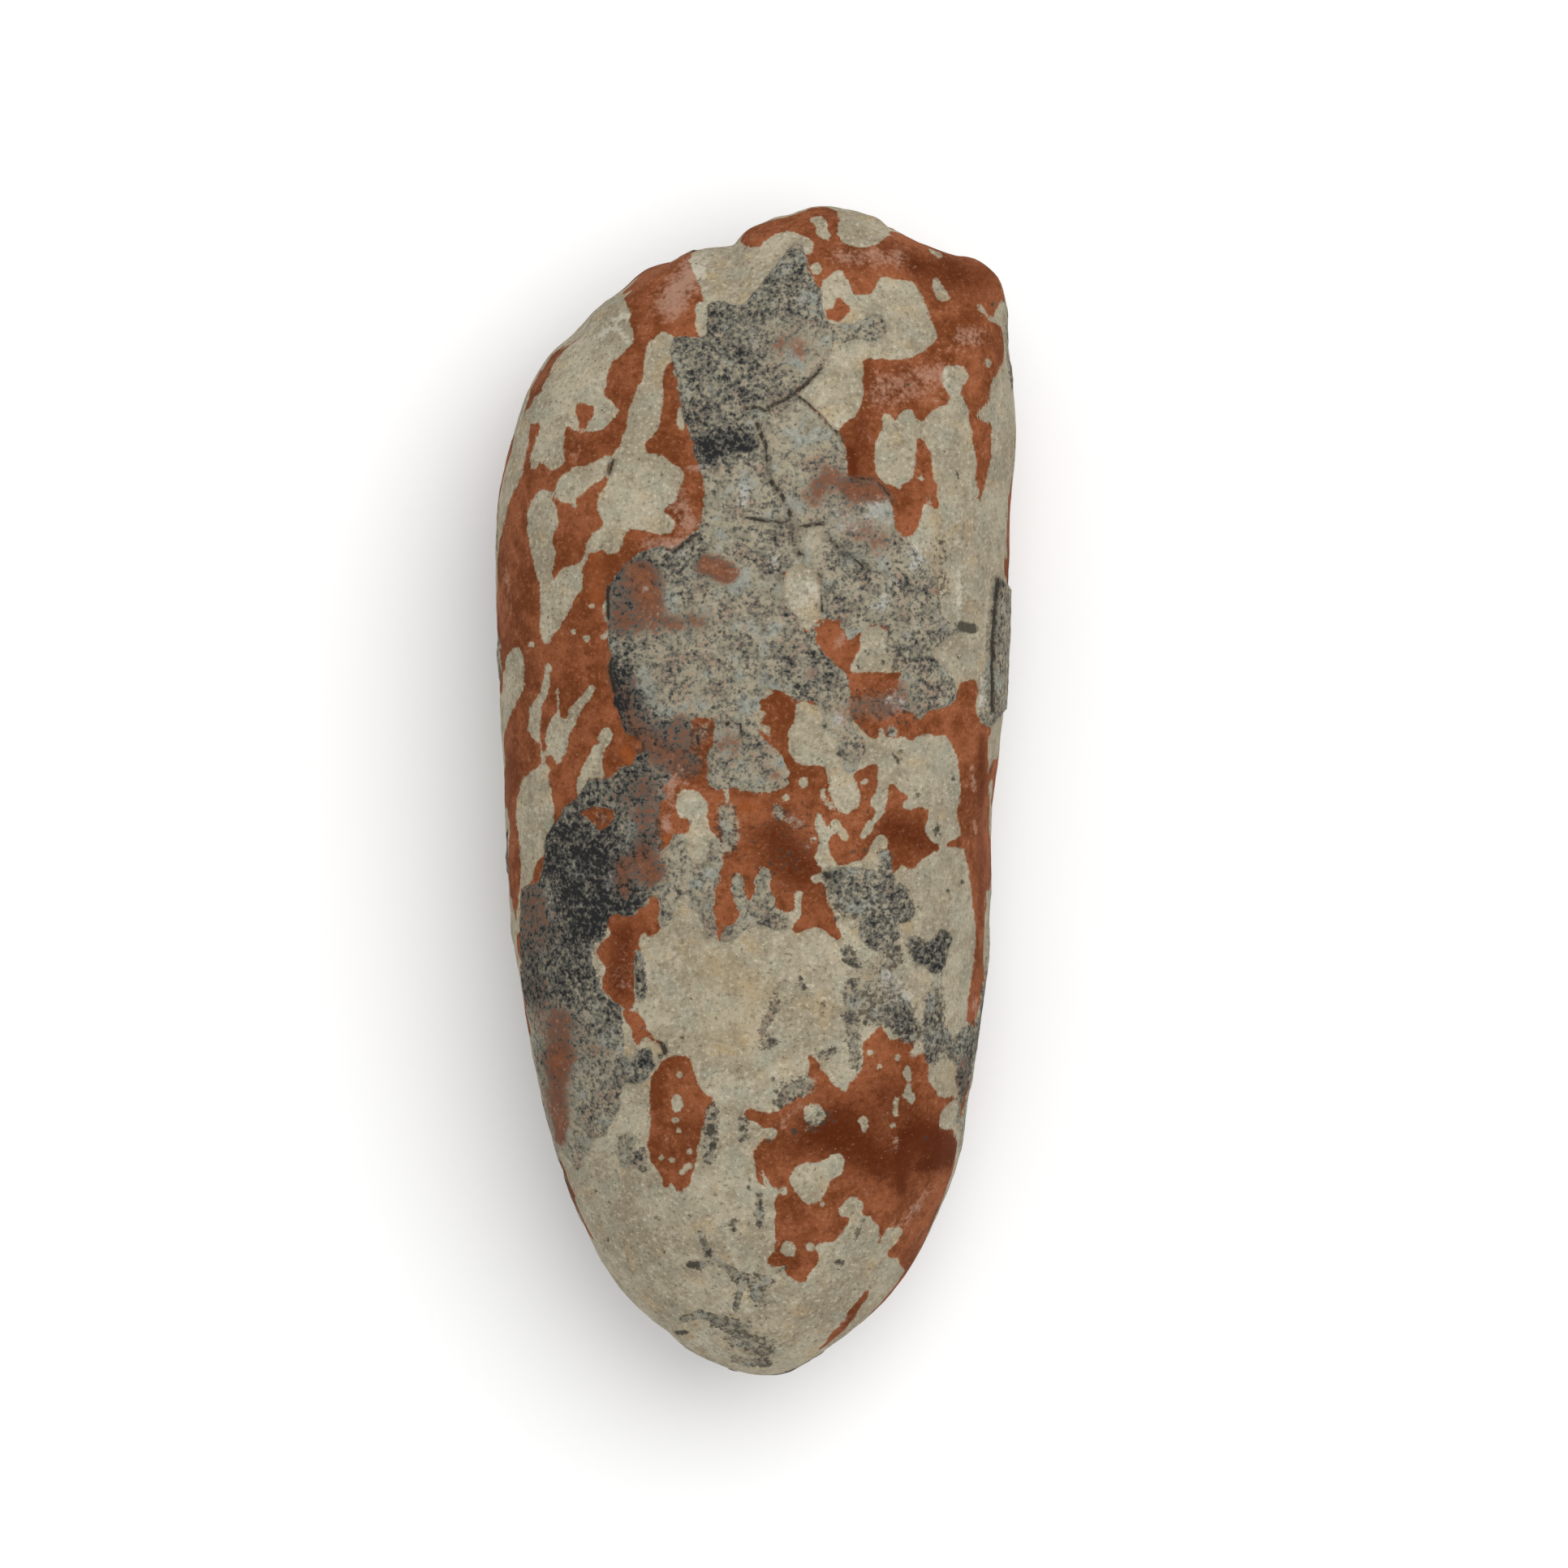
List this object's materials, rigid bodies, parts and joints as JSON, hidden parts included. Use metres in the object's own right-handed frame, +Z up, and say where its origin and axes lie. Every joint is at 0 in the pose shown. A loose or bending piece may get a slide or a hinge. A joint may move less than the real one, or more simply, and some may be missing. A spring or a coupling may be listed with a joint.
{
  "type": "fossil oviraptor egg",
  "caption": "Long fossil dinosaur egg of red and cream siltstone with plates of pebbled grey shell, lying on a small flat spot.",
  "frame": {"origin": "on the surface that the egg lies on, under the middle of its bounding box", "axes": "+Z up, +Y along the egg towards its broken blunt end, +X to the right when it is seen from above with the blunt end up"},
  "size_m": [0.078, 0.175, 0.055],
  "materials": {
    "siltstone_and_shell": "matt mottled red and cream siltstone with plates of grey pebbled eggshell"
  },
  "bodies": {
    "root": {"fossil_egg": "siltstone_and_shell"}
  },
  "joints": []
}
